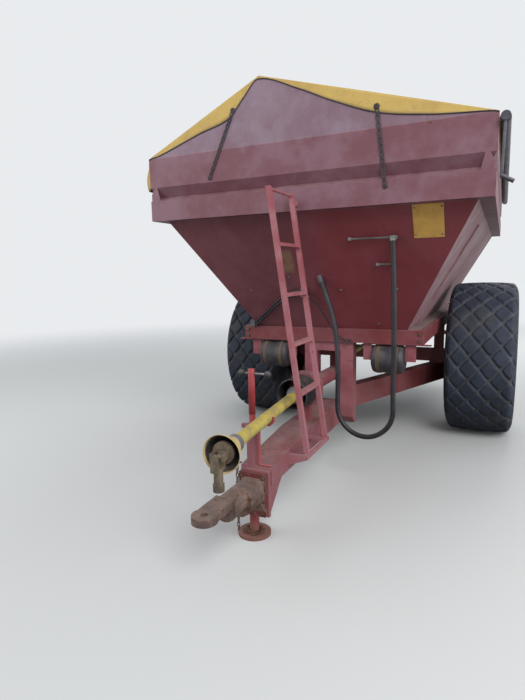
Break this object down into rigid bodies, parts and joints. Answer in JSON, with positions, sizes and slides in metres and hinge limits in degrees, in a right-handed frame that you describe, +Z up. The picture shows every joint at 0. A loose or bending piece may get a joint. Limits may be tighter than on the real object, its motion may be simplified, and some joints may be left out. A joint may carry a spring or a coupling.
{
  "type": "fertilizer spreader",
  "caption": "Towed fertilizer spreader with a covered V hopper on a drawbar chassis, belt floor with an outlet gate, twin spinners, jointed drive shaft, jack and ladder.",
  "frame": {"origin": "centre of the overall bounding box in plan, on the ground", "axes": "+X to the right seen from the front, +Y from the hitch toward the rear, +Z up"},
  "size_m": [2.802, 6.022, 2.8712],
  "materials": {
    "red_paint": "sun-faded satin paint with rust and dust",
    "pale_red_paint": "chalky faded paint with rust",
    "galvanised": "dull zinc with dirt",
    "bare_steel": "worn bare steel with light rust",
    "cast": "dark cast steel, worn bright at the eye",
    "tarp": "coated fabric, yellow, dusty",
    "strap": "woven strap, dark",
    "tyre": "matt rubber, dusty",
    "belt": "matt rubber",
    "tank": "black satin paint with dust",
    "guard_plastic": "yellow plastic, scuffed",
    "black_plastic": "black plastic",
    "blank_sheet": "flat yellow sheet",
    "lamp": "red lens",
    "hose": "ribbed rubber hose, dusty"
  },
  "bodies": {
    "spreader": {"axle": "red_paint", "belt_rollers": "bare_steel", "blank_plate": "blank_sheet", "cable_front": "hose", "bolsters": "red_paint", "drawbar": "pale_red_paint", "drawbar_eye": "cast", "drawbar_legs": "pale_red_paint", "driveline_tube": "red_paint", "floor_belt": "belt", "front_crossbeam": "red_paint", "front_posts": "pale_red_paint", "gables": "red_paint", "gear_case": "cast", "guard_arms": "red_paint", "hopper_front_wall": "red_paint", "hose_glands": "black_plastic", "hose_holders": "galvanised", "hose_left_lower": "hose", "hose_left_upper": "hose", "hose_main": "hose", "hopper_left_wall": "red_paint", "hopper_rear_wall": "red_paint", "hopper_right_wall": "red_paint", "ladder": "red_paint", "ladder_bracket": "red_paint", "lamps": "lamp", "middle_tie": "red_paint", "rear_guard": "red_paint", "rear_shaft_guard": "guard_plastic", "rear_tie": "red_paint", "reservoir_brackets": "red_paint", "reservoirs": "tank", "ridge_pole": "galvanised", "shaft_bell": "black_plastic", "shaft_cradle": "pale_red_paint", "sills": "red_paint", "spinner_cross_tube": "red_paint", "spinner_hangers": "red_paint", "tarp": "tarp", "tarp_roll": "galvanised", "tarp_straps": "strap", "upper_panel_ends": "red_paint", "upper_panel_sides": "red_paint"},
    "wheel_left": {"wheel_rim_left": "galvanised", "tyre_left": "tyre"},
    "wheel_right": {"wheel_rim_right": "galvanised", "tyre_right": "tyre"},
    "spinner_left": {"spinner_left": "galvanised"},
    "spinner_right": {"spinner_right": "galvanised"},
    "gate": {"outlet_gate": "galvanised"},
    "jack": {"jack_leg": "red_paint", "jack_handle": "red_paint"},
    "drive_shaft": {"shaft_guard": "guard_plastic", "shaft_rear_cone": "black_plastic", "shaft_front_cone": "black_plastic", "shaft_yoke": "cast"}
  },
  "joints": [
    {"name": "left_wheel_turn", "type": "hinge", "parent": "spreader", "child": "wheel_left", "pos_m": [-1.107, 0.481, 0.724], "axis": [1, 0, 0], "continuous": true},
    {"name": "right_wheel_turn", "type": "hinge", "parent": "spreader", "child": "wheel_right", "pos_m": [1.107, 0.481, 0.724], "axis": [1, 0, 0], "continuous": true},
    {"name": "left_spinner_turn", "type": "hinge", "parent": "spreader", "child": "spinner_left", "pos_m": [-0.42, 2.556, 0.893], "axis": [0, 0, 1], "continuous": true},
    {"name": "right_spinner_turn", "type": "hinge", "parent": "spreader", "child": "spinner_right", "pos_m": [0.42, 2.556, 0.893], "axis": [0, 0, 1], "continuous": true},
    {"name": "outlet_gate_slide", "type": "slide", "parent": "spreader", "child": "gate", "axis": [0, 0.2278, 0.9737], "range_m": [0, 0.25]},
    {"name": "jack_slide", "type": "slide", "parent": "spreader", "child": "jack", "axis": [0, 0, 1], "range_m": [0, 0.11]},
    {"name": "drive_shaft_lift", "type": "hinge", "parent": "spreader", "child": "drive_shaft", "pos_m": [0, -1.584, 0.745], "axis": [-1, 0, 0], "range_deg": [0, 15]}
  ],
  "couplings": [
    {"joint": "right_spinner_turn", "follows": "left_spinner_turn", "ratio": -1}
  ]
}
